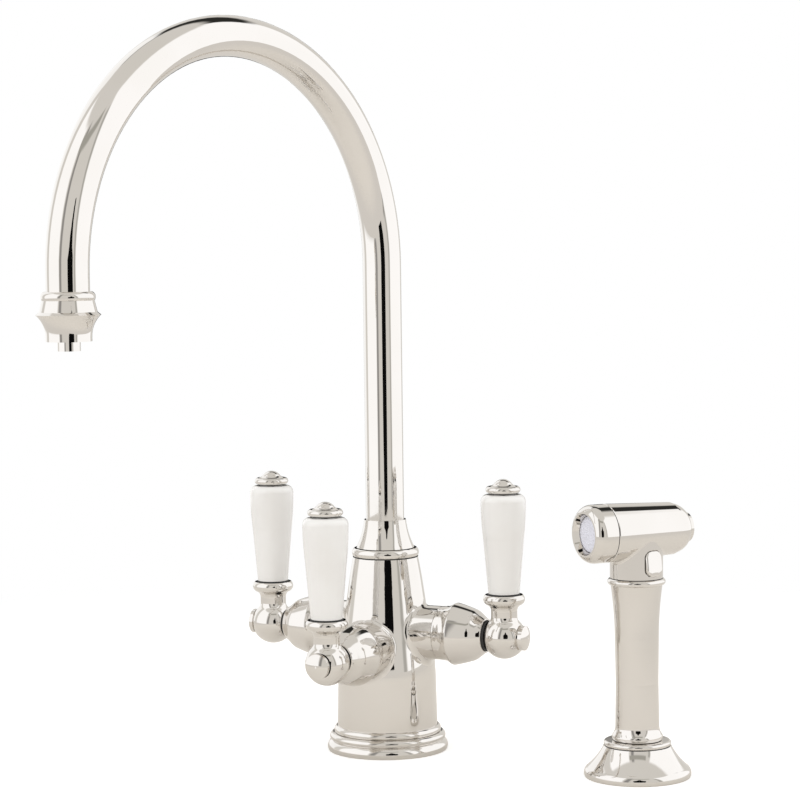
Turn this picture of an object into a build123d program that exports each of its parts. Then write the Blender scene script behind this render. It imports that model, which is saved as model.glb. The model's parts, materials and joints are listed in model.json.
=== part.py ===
from build123d import *

import os
from math import cos, hypot, radians, sin

os.makedirs("parts", exist_ok=True)

# Side spray kitchen faucet: a three lever mixer with a swivel arch spout, and a
# hand spray that stands in its own deck holder. Millimetres, +Z up. The origin is
# the middle of the mixer's base on the deck, the filter lever's arm points to -Y,
# the cold arm to +X and the hot arm to -X.

# ---------------------------------------------------------------- clearances
slip = 0.1  # radial gap of a fixed piece in its bore
running = 0.05  # radial gap of a shaft that turns in its bore
apart = 0.3  # gap between a moving piece and what it passes

# ---------------------------------------------------------------- mixer body
base_height = 14.3
flange_height = 6.2  # lowest and widest step of the base ring
middle_bead_height = 3.7
flange_radius = 35.0
sole_edge = 0.5  # how far an edge on the deck is set in
middle_bead_radius = 33.7
top_bead_radius = 31.1
bead_step = 1.1  # how far each bead stands out from the groove under it
flange_crest = 0.45  # where a foot is widest, as a share of its height
foot_radius = 22.0  # foot of the casting inside the base ring
body_foot_radius = 29.1
body_radius = 28.5
cone_foot_z = 42.0  # where the body starts to draw in, below the arms
cone_waist_radius = 24.6
cone_waist_z = 76.0
cone_top_radius = 18.8
cone_top_lean = 0.2  # how much the outline still draws in at the top, per millimetre
body_top_z = 112.8
deck_seal_thickness = 1.5
deck_seal_width = 6.0
base_seal_radius = 28.0  # middle of the seal under the mixer

# ---------------------------------------------------------------- valve arms
side_arm_z = 69.8
front_arm_z = 61.9
stub_radius = 15.4
stub_end = 35.5
arm_blend = 4.0
valve_seat = 17.5  # from the body's axis to the floor of each valve bore
valve_bore_radius = 10.0
chamber_radius = 11.0
chamber_length = 9.5
seat_seal_thickness = 1.5
seat_seal_bore_radius = 3.5
disc_radius = 8.3
disc_thickness = 3.0
disc_port_radius = 2.2
disc_port_reach = 4.8
disc_film = 0.05  # water film between the lapped discs
skirt_radius = 8.6  # bore of the cartridge round the discs
window_radius = 2.4
spindle_foot_thickness = 3.0
spindle_radius = 4.0
hexagon_width = 22.0
hexagon_length = 6.0
gland_radius = 8.0
gland_setback = 9.75  # from the shroud's end

shroud_ridge = 44.7  # from the body's axis
shroud_ridge_radius = 17.8
shroud_ridge_flat = 0.8
shroud_neck_length = 4.6
shroud_neck_swell = 0.3
shroud_setback = 11.0  # from its end to the ball's centre
shroud_end_radius = 10.2
shroud_bore_radius = 14.0
shroud_mouth_radius = 8.9
shroud_mouth_length = 3.5

# ---------------------------------------------------------------- levers
lever_reach = 74.75
ball_radius = 12.4
neck_radius = 7.5
neck_blend = 4.0
boss_radius = 7.2
collar_radius = 11.9
collar_height = 5.9
collar_crest = 0.55  # where it is widest, as a share of its height
collar_edge = 1.2
collar_cove = 1.9  # how far the cove under it spreads
collar_cove_height = 3.4
handle_foot = 24.4  # heights of the lever's pieces are above the ball's centre
handle_length = 57.2
handle_foot_radius = 8.8
handle_waist_radius = 11.5
handle_top_radius = 12.8
handle_waist_share = 0.55  # of the handle's length
handle_edge = 3.6
handle_shoulder = 3.9
handle_bore_radius = 3.1
rod_radius = 2.5
rod_foot = 7.2
finial_foot_radius = 6.6
finial_foot_height = 0.8
finial_rim_radius = 9.9
finial_rim_height = 3.8
finial_crest = 0.45  # where the rim is widest, as a share of its height
finial_undercut = 1.4
finial_rim_edge = 1.6
finial_step = 1.2
finial_button_radius = 5.3
finial_height = 8.6
cap_seat = 9.9  # flat on the ball's outer side
cap_neck_radius = 5.9
cap_neck = 0.9  # gap under the cap's rim
cap_radius = 7.0
cap_edge = 2.2
cap_dome = 1.7
screw_radius = 2.0
screw_head_radius = 3.8
screw_head_height = 3.4
screw_socket_width = 3.0
screw_reach = 8.0  # into the spindle
screw_end_room = 1.0
web_thickness = 3.0  # between the spindle's socket and the screw's head
head_bore_radius = 4.5

# ---------------------------------------------------------------- spout
spout_turn = 13.0  # degrees from -Y towards -X
tube_radius = 11.0
tube_wall = 1.2
spout_reach = 248.0
spring_line_z = 282.0  # height where the arch begins
seat_ring_height = 5.0
seat_ring_radius = 19.4
seat_ring_foot_inset = 0.3  # from the cone's edge
seat_ring_top_inset = 0.7
mixing_floor_z = 84.0
spigot_radius = 8.95
spigot_foot_z = 90.0
spigot_bore_radius = 5.2
spigot_flange_radius = 14.4
spigot_flange_height = 1.8
collar_flare_radius = 16.7
collar_flare_top_radius = 12.1
collar_flare_height = 16.2
collar_waist_radius = 14.0
collar_waist_share = 0.42  # of the flare's height
seal_wire_radius = 0.8
lower_seal_z = 93.2
upper_seal_z = 107.4
keeper_z = 100.3  # groove that the grub screw reaches into
keeper_width = 4.6
keeper_depth = 1.35
grub_radius = 2.0
grub_socket_depth = 2.0
filter_tube_radius = 4.0
filter_tube_wall = 0.8
filter_tube_foot_z = 78.0
filter_channel_floor_z = 74.0

outlet_leg = 20.0  # from the arch's end down to the tube's end
ferrule_height = 4.4
ferrule_crest = 0.32  # where it is widest, as a share of its height
ferrule_edge = 1.2
ferrule_radius = 13.8
outlet_top_radius = 13.2
outlet_band_radius = 14.6
outlet_band_height = 5.8
outlet_socket_depth = 6.6  # how far the tube goes into the outlet
outlet_ridge_radius = 16.4
outlet_ridge_height = 1.4
outlet_mouth_radius = 11.7
outlet_lip_height = 2.5  # straight part above the mouth
outlet_bore_length = 13.9  # from the tube's end to the mouth
outlet_bore_radius = 10.2
straightener_height = 5.0
straightener_hole_radius = 1.2
straightener_hole_reach = 7.6
straightener_holes = 12
nozzle_radius = 5.85
nozzle_drop = 4.8  # below the outlet's mouth
nozzle_shank_radius = 5.2
nozzle_bore_radius = 2.5
nozzle_socket_foot = 8.6  # above the mouth
nozzle_socket_depth = 5.0

# ---------------------------------------------------------------- waterways
stud_core_radius = 3.4  # M8 tapping size
stud_depth = 10.0
port_reach = 12.5
port_core_radius = 4.5  # M10x1 tapping size
hot_port_depth = 12.0
cold_port_depth = 13.0
filter_port_depth = 14.0
spray_port_radius = 5.5  # M12x1 tapping size
spray_port_depth = 22.0
spray_bore_top_z = 52.0
duct_radius = 3.0
cross_duct_radius = 2.5
duct_inset = 2.5  # from the valve's seat to a cross duct's start
duct_rise = 4.0  # from the arm's axis to its start
duct_end_rise = 6.0  # above the mixing floor
duct_end_reach = 5.0  # from the body's axis
filter_duct_rise = 2.0
filter_duct_end_rise = 3.0
diverter_duct_drop = 2.0  # below the top of the diverter's bore
diverter_duct_end_reach = 6.0
diverter_duct_end_rise = 4.0

sleeve_radius = 5.0
sleeve_top_z = 50.0
sleeve_lip = 3.0
sleeve_lip_radius = 2.2
piston_radius = 3.5
piston_bore_radius = 1.5
piston_length = 10.0
piston_foot_z = 36.0
diverter_wire_radius = 0.35
diverter_coil_radius = 2.7
diverter_coil_turns = 5

# ---------------------------------------------------------------- spray holder
spray_x = 159.8
spray_y = -13.4
holder_rim_radius = 29.5
holder_rim_height = 5.6
holder_rim_edge = 1.9
bell_top_z = 17.2
bell_top_radius = 18.6
bell_waist_radius = 22.0
bell_waist_z = 11.6
holder_bead_radius = 18.6
holder_bead_step = 1.1  # how far it stands out from the groove under it
holder_top_z = 20.2
holder_top_inset = 1.2
holder_thread_radius = 13.0
holder_thread_depth = 7.0
bush_radius = 12.4
bush_bore_radius = 11.0
holder_seal_radius = 21.5

# ---------------------------------------------------------------- hand spray
skirt_foot_radius = 14.0
skirt_height = 2.8
skirt_edge = 0.3
column_foot_radius = 12.1
column_foot_z = 28.0
column_waist_radius = 11.75
column_waist_z = 52.0
column_top_radius = 14.2
column_flare_z = 77.0
column_flare_radius = 12.1
column_top_z = 109.8
column_bead_height = 3.6
column_bead_radius = 15.9
column_bore_radius = 9.0
connector_radius = 10.7
connector_foot_z = 9.0
connector_thread_radius = 5.0
connector_thread_depth = 8.0
connector_bore_radius = 4.0
connector_top_z = 34.0

nozzle_turn = 36.7  # degrees from -Y towards -X
barrel_z = 135.7
barrel_front_radius = 16.0
barrel_back_radius = 14.4
barrel_front = 20.5
barrel_back = 21.9
seam_edge = 0.5  # chamfer each side of the nozzle ring's seam
barrel_bore_radius = 8.5
neck_foot_radius = 14.5
neck_top_radius = 14.6
head_blend = 2.0
head_spigot_length = 9.0
head_duct_radius = 6.0
nozzle_ring_length = 13.0
nozzle_lip_length = 5.5
nozzle_lip_radius = 12.4
face_radius = 10.0
face_thickness = 3.2
face_recess = 3.2
face_chamfer = 1.2
face_hole_radius = 0.45
face_ring_count = 3  # of holes, six more in each ring
face_ring_pitch = 2.85
end_cap_length = 12.1
end_cap_radius = 8.3
end_cap_dome = 1.4
end_cap_shoulder = 8.3  # length of the rounded shoulder
end_cap_shoulder_radius = 9.3
end_cap_swell = 1.5
end_cap_spigot = 8.0

button_z = 119.0
button_turn = 29.1  # degrees from +X towards -Y
button_height = 14.0
button_width = 10.5
button_corner = 3.8
button_proud = 2.1
button_crown = 0.5
button_depth = 3.2
button_travel = 2.5
spring_pocket_radius = 3.6
spring_pocket_depth = 1.8
stem_radius = 2.0
poppet_radius = 4.4
poppet_thickness = 1.5
poppet_reach = 2.0
button_wire_radius = 0.3
button_coil_radius = 2.95
button_coil_turns = 3.5

# ---------------------------------------------------------------- worked out sizes
up = Vector(0, 0, 1)
front = Plane.XZ
flange_bead_z = flange_height + middle_bead_height
seat_ring_top_z = body_top_z + seat_ring_height
collar_foot_z = seat_ring_top_z + apart
tube_foot_z = collar_foot_z + spigot_flange_height
collar_top_z = collar_foot_z + collar_flare_height
arch_radius = spout_reach / 2
shroud_end = lever_reach - shroud_setback
gland_end = shroud_end - gland_setback
disc_foot = valve_seat + seat_seal_thickness
moving_disc_foot = disc_foot + disc_thickness + disc_film
spindle_foot = moving_disc_foot + disc_thickness
spindle_shoulder = spindle_foot + spindle_foot_thickness
spindle_end = lever_reach - apart
screw_seat = lever_reach + web_thickness
handle_top = handle_foot + handle_length
tube_end_z = spring_line_z - outlet_leg
ferrule_foot_z = tube_end_z + outlet_socket_depth
ferrule_top_z = ferrule_foot_z + ferrule_height
outlet_mouth_z = tube_end_z - outlet_bore_length
nozzle_socket_z = outlet_mouth_z + nozzle_socket_foot
nozzle_top_z = nozzle_socket_z + nozzle_socket_depth
ridge_top_z = ferrule_foot_z - outlet_band_height
ridge_z = ridge_top_z - outlet_ridge_height
nozzle_foot_z = outlet_mouth_z - nozzle_drop
straightener_foot_z = outlet_mouth_z + straightener_height / 3
sleeve_foot_z = spray_port_depth + apart
bush_foot_z = holder_thread_depth + apart
skirt_foot_z = holder_top_z + apart
barrel_out = Vector(-sin(radians(nozzle_turn)), -cos(radians(nozzle_turn)), 0)
button_out = Vector(cos(radians(button_turn)), -sin(radians(button_turn)), 0)
face_front = barrel_front + nozzle_ring_length - face_recess
button_face = neck_foot_radius + button_proud
button_back = button_face - button_depth
pocket_floor = button_back - button_travel - apart


class Arm:
    """One valve arm: where it points, how high it is, its inlet port and its lever."""

    def __init__(self, name, turn, height, port_depth):
        self.name = name
        self.height = height
        self.port_depth = port_depth
        self.out = Vector(cos(radians(turn)), sin(radians(turn)), 0)
        self.foot = Vector(0, 0, height)
        self.axis = Axis(self.foot, self.out)
        self.section = Plane(self.foot, x_dir=self.out, z_dir=self.out.cross(up))
        self.ball = self.foot + self.out * lever_reach
        self.lever_axis = Axis(self.ball, up)
        self.lever_section = Plane(self.ball, x_dir=self.out, z_dir=self.out.cross(up))

    def across(self, distance):
        """A plane square to the arm, with its own y upwards."""
        return Plane(self.foot + self.out * distance, x_dir=up.cross(self.out), z_dir=self.out)


arms = [
    Arm("hot", 180, side_arm_z, hot_port_depth),
    Arm("cold", 0, side_arm_z, cold_port_depth),
    Arm("filter", 270, front_arm_z, filter_port_depth),
]


def duct(start, end):
    """A sketch plane at the start of a straight drilling, and the drilling's length."""
    run = Vector(*end) - Vector(*start)
    return Plane(Vector(*start), z_dir=run), run.length


# ================================================================ mixer body
with BuildPart() as body_casting:
    with BuildSketch(front):
        with BuildLine():
            foot = Polyline(
                (0, 0), (foot_radius, 0), (foot_radius, base_height),
                (body_foot_radius, base_height), (body_radius, cone_foot_z),
            )
            cone = Spline(
                foot @ 1, (cone_waist_radius, cone_waist_z), (cone_top_radius, body_top_z),
                tangents=(foot % 1, (-cone_top_lean, 1)),
            )
            Polyline(cone @ 1, (0, body_top_z), (0, 0))
        make_face()
    revolve(axis=Axis.Z)
    plain_edges = body_casting.edges()
    for arm in arms:
        with BuildSketch(arm.across(0)):
            Circle(stub_radius)
        extrude(amount=stub_end)
    joins = body_casting.edges() - plain_edges
    joins = joins.filter_by(lambda edge: edge.geom_type not in (GeomType.CIRCLE, GeomType.LINE))
    fillet(joins, arm_blend)

    # bore for the spout, with the filtered water's channel below it
    with BuildSketch(Plane.XY.offset(body_top_z)):
        Circle(spigot_radius + running)
    extrude(amount=mixing_floor_z - body_top_z, mode=Mode.SUBTRACT)
    with BuildSketch(Plane.XY.offset(mixing_floor_z)):
        Circle(filter_tube_radius + running)
    extrude(amount=filter_channel_floor_z - mixing_floor_z, mode=Mode.SUBTRACT)

    # valve bores, each with a wider water chamber and a duct down to its inlet port
    for arm in arms:
        with BuildSketch(arm.across(valve_seat)):
            Circle(chamber_radius)
        extrude(amount=chamber_length, mode=Mode.SUBTRACT)
        with BuildSketch(arm.across(valve_seat)):
            Circle(valve_bore_radius)
        extrude(amount=stub_end - valve_seat, mode=Mode.SUBTRACT)
        with BuildSketch(arm.across(port_reach)):
            Circle(duct_radius)
        extrude(amount=valve_seat - port_reach, mode=Mode.SUBTRACT)
        port = arm.out * port_reach
        with BuildSketch():
            with Locations((port.X, port.Y)):
                Circle(duct_radius)
        extrude(amount=arm.height, mode=Mode.SUBTRACT)
        with BuildSketch():
            with Locations((port.X, port.Y)):
                Circle(port_core_radius)
        extrude(amount=arm.port_depth, mode=Mode.SUBTRACT)

    # ducts from the two side chambers to the mixing bore, and from the filter's
    # chamber to its own channel
    for arm in arms[:2]:
        start, length = duct(
            arm.foot + arm.out * (valve_seat + duct_inset) + up * duct_rise,
            Vector(0, 0, mixing_floor_z + duct_end_rise) + arm.out * duct_end_reach,
        )
        with BuildSketch(start):
            Circle(cross_duct_radius)
        extrude(amount=length, mode=Mode.SUBTRACT)
    start, length = duct(
        arms[2].foot + arms[2].out * (valve_seat + duct_inset) + up * filter_duct_rise,
        (0, 0, filter_channel_floor_z + filter_duct_end_rise),
    )
    with BuildSketch(start):
        Circle(cross_duct_radius)
    extrude(amount=length, mode=Mode.SUBTRACT)

    # rear bore for the diverter's sleeve, and the spray hose's port below it
    with BuildSketch():
        with Locations((0, port_reach)):
            Circle(sleeve_radius + slip)
    extrude(amount=spray_bore_top_z, mode=Mode.SUBTRACT)
    with BuildSketch():
        with Locations((0, port_reach)):
            Circle(spray_port_radius)
    extrude(amount=spray_port_depth, mode=Mode.SUBTRACT)
    start, length = duct(
        (0, port_reach, spray_bore_top_z - diverter_duct_drop),
        (0, diverter_duct_end_reach, mixing_floor_z + diverter_duct_end_rise),
    )
    with BuildSketch(start):
        Circle(cross_duct_radius)
    extrude(amount=length, mode=Mode.SUBTRACT)

    with BuildSketch():
        Circle(stud_core_radius)
    extrude(amount=stud_depth, mode=Mode.SUBTRACT)

    # grub screw hole in the back of the cone
    with BuildSketch(Plane((0, 0, keeper_z), z_dir=(0, 1, 0))):
        Circle(grub_radius + running)
    extrude(amount=body_radius, mode=Mode.SUBTRACT)
body_casting.part.label = "body_casting"
export_step(body_casting.part, "parts/body_casting.step")

with BuildPart() as base_ring:
    bore = foot_radius + slip
    with BuildSketch(front):
        with BuildLine():
            sole = Line((bore, 0), (flange_radius - sole_edge, 0))
            flange = ThreePointArc(
                sole @ 1, (flange_radius, flange_height * flange_crest),
                (middle_bead_radius - bead_step, flange_height),
            )
            middle = ThreePointArc(
                flange @ 1, (middle_bead_radius, flange_height + middle_bead_height / 2),
                (top_bead_radius - bead_step, flange_bead_z),
            )
            top = ThreePointArc(
                middle @ 1, (top_bead_radius, (flange_bead_z + base_height) / 2),
                (body_radius + bead_step, base_height),
            )
            Polyline(top @ 1, (bore, base_height), (bore, 0))
        make_face()
    revolve(axis=Axis.Z)
    with BuildSketch():
        Circle(base_seal_radius + deck_seal_width / 2)
        Circle(base_seal_radius - deck_seal_width / 2, mode=Mode.SUBTRACT)
    extrude(amount=deck_seal_thickness, mode=Mode.SUBTRACT)
base_ring.part.label = "base_ring"
export_step(base_ring.part, "parts/base_ring.step")

with BuildPart() as base_seal:
    with BuildSketch():
        Circle(base_seal_radius + deck_seal_width / 2 - slip)
        Circle(base_seal_radius - deck_seal_width / 2 + slip, mode=Mode.SUBTRACT)
    extrude(amount=deck_seal_thickness)
base_seal.part.label = "base_seal"
export_step(base_seal.part, "parts/base_seal.step")

with BuildPart() as seat_ring:
    bore = spigot_radius + apart
    with BuildSketch(front):
        with BuildLine():
            foot = Line((bore, body_top_z), (cone_top_radius - seat_ring_foot_inset, body_top_z))
            bead = ThreePointArc(
                foot @ 1, (seat_ring_radius, body_top_z + seat_ring_height / 2),
                (cone_top_radius - seat_ring_top_inset, seat_ring_top_z),
            )
            Polyline(bead @ 1, (bore, seat_ring_top_z), foot @ 0)
        make_face()
    revolve(axis=Axis.Z)
seat_ring.part.label = "seat_ring"
export_step(seat_ring.part, "parts/seat_ring.step")

with BuildPart() as grub_screw:
    tip = spigot_radius - keeper_depth + apart
    with BuildSketch(Plane((0, tip, keeper_z), z_dir=(0, 1, 0))):
        Circle(grub_radius)
    extrude(amount=cone_top_radius - tip)
    with BuildSketch(Plane((0, cone_top_radius, keeper_z), z_dir=(0, 1, 0))):
        RegularPolygon(grub_radius / 2, 6)
    extrude(amount=-grub_socket_depth, mode=Mode.SUBTRACT)
grub_screw.part.label = "grub_screw"
export_step(grub_screw.part, "parts/grub_screw.step")

# ================================================================ diverter
with BuildPart() as diverter_sleeve:
    with BuildSketch(Plane.XY.offset(sleeve_foot_z)):
        with Locations((0, port_reach)):
            Circle(sleeve_radius)
            Circle(sleeve_lip_radius, mode=Mode.SUBTRACT)
    extrude(amount=sleeve_top_z - sleeve_foot_z)
    with BuildSketch(Plane.XY.offset(sleeve_foot_z + sleeve_lip)):
        with Locations((0, port_reach)):
            Circle(piston_radius + slip)
    extrude(amount=sleeve_top_z - sleeve_foot_z - sleeve_lip, mode=Mode.SUBTRACT)
diverter_sleeve.part.label = "diverter_sleeve"
export_step(diverter_sleeve.part, "parts/diverter_sleeve.step")

with BuildPart() as diverter_piston:
    with BuildSketch(Plane.XY.offset(piston_foot_z)):
        with Locations((0, port_reach)):
            Circle(piston_radius)
            Circle(piston_bore_radius, mode=Mode.SUBTRACT)
    extrude(amount=piston_length)
diverter_piston.part.label = "diverter_piston"
export_step(diverter_piston.part, "parts/diverter_piston.step")

with BuildPart() as diverter_spring:
    coil_foot_z = sleeve_foot_z + sleeve_lip + diverter_wire_radius
    coil_length = piston_foot_z - coil_foot_z - diverter_wire_radius
    with BuildLine():
        coil = Helix(
            pitch=coil_length / diverter_coil_turns, height=coil_length,
            radius=diverter_coil_radius, center=(0, port_reach, coil_foot_z),
        )
    with BuildSketch(Plane(coil @ 0, z_dir=coil % 0)):
        Circle(diverter_wire_radius)
    sweep(path=coil, is_frenet=True)
diverter_spring.part.label = "diverter_spring"
export_step(diverter_spring.part, "parts/diverter_spring.step")


# ================================================================ valves
def make_shroud(arm):
    """Turned cover over the cartridge, with the pointed ridge."""
    neck_end = stub_end + shroud_neck_length
    with BuildPart() as shroud:
        with BuildSketch(arm.section):
            with BuildLine():
                neck = Line((stub_end, stub_radius), (neck_end, stub_radius + shroud_neck_swell))
                rise = TangentArc(neck @ 1, (shroud_ridge, shroud_ridge_radius), tangent=neck % 1)
                Polyline(
                    rise @ 1, (shroud_ridge + shroud_ridge_flat, shroud_ridge_radius),
                    (shroud_end, shroud_end_radius), (shroud_end, shroud_mouth_radius),
                    (shroud_end - shroud_mouth_length, shroud_mouth_radius),
                    (shroud_ridge, shroud_bore_radius), (stub_end, shroud_bore_radius),
                    neck @ 0,
                )
            make_face()
        revolve(axis=arm.axis)
    shroud.part.label = arm.name + "_shroud"
    export_step(shroud.part, f"parts/{arm.name}_shroud.step")


def make_cartridge(arm):
    """Brass valve body: a skirt round the discs, a hexagon and a gland for the spindle."""
    skirt_foot = valve_seat + slip
    with BuildPart() as cartridge:
        with BuildSketch(arm.section):
            Polygon(
                (skirt_foot, skirt_radius), (skirt_foot, valve_bore_radius - slip),
                (stub_end, valve_bore_radius - slip), (stub_end + hexagon_length, gland_radius),
                (gland_end, gland_radius), (gland_end, spindle_radius + running),
                (spindle_shoulder + apart, spindle_radius + running),
                (spindle_shoulder + apart, skirt_radius),
                align=None,
            )
        revolve(axis=arm.axis)
        with BuildSketch(arm.across(stub_end)):
            RegularPolygon(hexagon_width / 2, 6, major_radius=False)
            Circle(spindle_radius + running, mode=Mode.SUBTRACT)
        extrude(amount=hexagon_length)
        window = arm.foot + arm.out * (moving_disc_foot + disc_thickness / 2)
        with BuildSketch(Plane(window, z_dir=up)):
            Circle(window_radius)
        extrude(amount=chamber_radius, both=True, mode=Mode.SUBTRACT)
    cartridge.part.label = arm.name + "_cartridge"
    export_step(cartridge.part, f"parts/{arm.name}_cartridge.step")


def make_moving_disc(arm):
    """Ceramic disc that turns with the spindle, shut while the lever is upright."""
    with BuildPart() as moving_disc:
        with BuildSketch(arm.across(moving_disc_foot)):
            Circle(disc_radius)
            with PolarLocations(disc_port_reach, 2):
                Circle(disc_port_radius, mode=Mode.SUBTRACT)
        extrude(amount=disc_thickness)
    moving_disc.part.label = arm.name + "_moving_disc"
    export_step(moving_disc.part, f"parts/{arm.name}_moving_disc.step")


def make_spindle(arm):
    """Brass spindle with a drive foot, tapped at its outer end."""
    with BuildPart() as spindle:
        with BuildSketch(arm.across(spindle_foot)):
            Circle(disc_radius - apart)
        extrude(amount=spindle_foot_thickness)
        with BuildSketch(arm.across(spindle_shoulder)):
            Circle(spindle_radius)
        extrude(amount=spindle_end - spindle_shoulder)
        with BuildSketch(arm.across(spindle_end)):
            Circle(screw_radius + running)
        extrude(amount=-(screw_reach + screw_end_room), mode=Mode.SUBTRACT)
    spindle.part.label = arm.name + "_spindle"
    export_step(spindle.part, f"parts/{arm.name}_spindle.step")


# ================================================================ levers
def make_hub(arm):
    """Ball with a short neck and a beaded collar, socketed for the spindle."""
    blend_x = neck_radius + neck_blend
    blend_z = (hypot(ball_radius + neck_blend, 0) ** 2 - blend_x**2) ** 0.5
    ball_share = ball_radius / (ball_radius + neck_blend)
    toward_ball = Vector(-blend_x, -blend_z).normalized()
    middle_way = (toward_ball + Vector(-1, 0)).normalized() * neck_blend
    collar_foot = handle_foot - collar_height
    with BuildPart() as hub:
        with BuildSketch(arm.lever_section):
            with BuildLine():
                ball = ThreePointArc(
                    (0, -ball_radius), (ball_radius, 0),
                    (blend_x * ball_share, blend_z * ball_share),
                )
                blend = ThreePointArc(
                    ball @ 1, (blend_x + middle_way.X, blend_z + middle_way.Y),
                    (neck_radius, blend_z),
                )
                neck = Line(blend @ 1, (neck_radius, collar_foot - collar_cove_height))
                cove = TangentArc(
                    neck @ 1, (neck_radius + collar_cove, collar_foot), tangent=(0, 1)
                )
                bead = ThreePointArc(
                    cove @ 1, (collar_radius, collar_foot + collar_height * collar_crest),
                    (collar_radius - collar_edge, handle_foot),
                )
                Polyline(bead @ 1, (0, handle_foot), (0, -ball_radius))
            make_face()
        revolve(axis=arm.lever_axis)
        with BuildSketch(arm.across(shroud_end + apart)):
            Circle(boss_radius)
        extrude(amount=lever_reach - shroud_end - apart)
        with BuildSketch(arm.across(shroud_end + apart)):
            Circle(ball_radius)
        extrude(amount=-ball_radius, mode=Mode.SUBTRACT)
        with BuildSketch(arm.across(lever_reach + cap_seat)):
            Circle(ball_radius)
        extrude(amount=ball_radius, mode=Mode.SUBTRACT)
        with BuildSketch(arm.across(lever_reach)):
            Circle(spindle_radius + running)
        extrude(amount=-lever_reach + shroud_end, mode=Mode.SUBTRACT)
        with BuildSketch(arm.across(lever_reach)):
            Circle(screw_radius + slip)
        extrude(amount=web_thickness, mode=Mode.SUBTRACT)
        with BuildSketch(arm.across(screw_seat)):
            Circle(head_bore_radius)
        extrude(amount=ball_radius, mode=Mode.SUBTRACT)
        with BuildSketch(Plane(arm.ball + up * handle_foot, z_dir=up)):
            Circle(rod_radius + slip)
        extrude(amount=rod_foot - handle_foot, mode=Mode.SUBTRACT)
    hub.part.label = arm.name + "_hub"
    export_step(hub.part, f"parts/{arm.name}_hub.step")


def make_handle(arm):
    """Glazed handle, narrow at its foot, with a rounded shoulder."""
    waist = handle_foot + handle_length * handle_waist_share
    with BuildPart() as handle:
        with BuildSketch(arm.lever_section):
            with BuildLine():
                foot = Line((handle_bore_radius, handle_foot), (handle_foot_radius, handle_foot))
                taper = Line(foot @ 1, (handle_waist_radius, waist))
                swell = TangentArc(
                    (handle_top_radius, handle_top - handle_shoulder), taper @ 1, tangent=(0, -1)
                )
                edge = TangentArc(
                    swell @ 0, (handle_top_radius - handle_edge, handle_top), tangent=(0, 1)
                )
                Polyline(edge @ 1, (handle_bore_radius, handle_top), foot @ 0)
            make_face()
        revolve(axis=arm.lever_axis)
    handle.part.label = arm.name + "_handle"
    export_step(handle.part, f"parts/{arm.name}_handle.step")


def make_rod(arm):
    """Steel rod that ties the finial, handle and hub together."""
    with BuildPart() as rod:
        with BuildSketch(Plane(arm.ball + up * (rod_foot + slip), z_dir=up)):
            Circle(rod_radius)
        extrude(amount=handle_top + finial_foot_height + finial_rim_height - rod_foot - 2 * slip)
    rod.part.label = arm.name + "_rod"
    export_step(rod.part, f"parts/{arm.name}_rod.step")


def make_finial(arm):
    """Turned nut on top: an undercut foot, a rim and a small stepped dome."""
    rim_foot = handle_top + finial_foot_height
    rim_top = rim_foot + finial_rim_height
    with BuildPart() as finial:
        with BuildSketch(arm.lever_section):
            with BuildLine():
                foot = Polyline(
                    (0, handle_top), (finial_foot_radius, handle_top),
                    (finial_foot_radius, rim_foot), (finial_rim_radius - finial_undercut, rim_foot),
                )
                rim = ThreePointArc(
                    foot @ 1, (finial_rim_radius, rim_foot + finial_rim_height * finial_crest),
                    (finial_rim_radius - finial_rim_edge, rim_top),
                )
                slope = TangentArc(
                    rim @ 1, (finial_button_radius, rim_top + finial_step), tangent=(-1, 0)
                )
                dome = TangentArc((0, handle_top + finial_height), slope @ 1, tangent=(1, 0))
                Line(dome @ 0, foot @ 0)
            make_face()
        revolve(axis=arm.lever_axis)
        with BuildSketch(Plane(arm.ball + up * handle_top, z_dir=up)):
            Circle(rod_radius + slip)
        extrude(amount=finial_foot_height + finial_rim_height, mode=Mode.SUBTRACT)
    finial.part.label = arm.name + "_finial"
    export_step(finial.part, f"parts/{arm.name}_finial.step")


def make_cap(arm):
    """Domed cap on the ball's outer flat, over the screw."""
    rim = lever_reach + cap_seat + cap_neck
    with BuildPart() as cap:
        with BuildSketch(arm.section):
            with BuildLine():
                side = Polyline(
                    (lever_reach + cap_seat, 0), (lever_reach + cap_seat, cap_neck_radius),
                    (rim, cap_neck_radius), (rim, cap_radius), (rim + cap_edge, cap_radius),
                )
                dome = TangentArc((rim + cap_edge + cap_dome, 0), side @ 1, tangent=(0, 1))
                Line(dome @ 0, side @ 0)
            make_face()
        revolve(axis=arm.axis)
    cap.part.label = arm.name + "_cap"
    export_step(cap.part, f"parts/{arm.name}_cap.step")


def make_screw(arm):
    """Socket screw that holds the hub on the spindle."""
    with BuildPart() as screw:
        with BuildSketch(arm.across(screw_seat)):
            Circle(screw_head_radius)
        extrude(amount=screw_head_height)
        with BuildSketch(arm.across(screw_seat)):
            Circle(screw_radius)
        extrude(amount=-(screw_seat - spindle_end + screw_reach))
        with BuildSketch(arm.across(screw_seat + screw_head_height)):
            RegularPolygon(screw_socket_width / 2, 6, major_radius=False)
        extrude(amount=-screw_head_height / 2, mode=Mode.SUBTRACT)
    screw.part.label = arm.name + "_screw"
    export_step(screw.part, f"parts/{arm.name}_screw.step")


for arm in arms:
    make_shroud(arm)
    make_cartridge(arm)
    make_moving_disc(arm)
    make_spindle(arm)
    make_hub(arm)
    make_handle(arm)
    make_rod(arm)
    make_finial(arm)
    make_cap(arm)
    make_screw(arm)

with BuildPart() as seat_seals:
    for arm in arms:
        with BuildSketch(arm.across(valve_seat)):
            Circle(disc_radius)
            Circle(seat_seal_bore_radius, mode=Mode.SUBTRACT)
        extrude(amount=seat_seal_thickness)
seat_seals.part.label = "seat_seals"
export_step(seat_seals.part, "parts/seat_seals.step")

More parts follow.
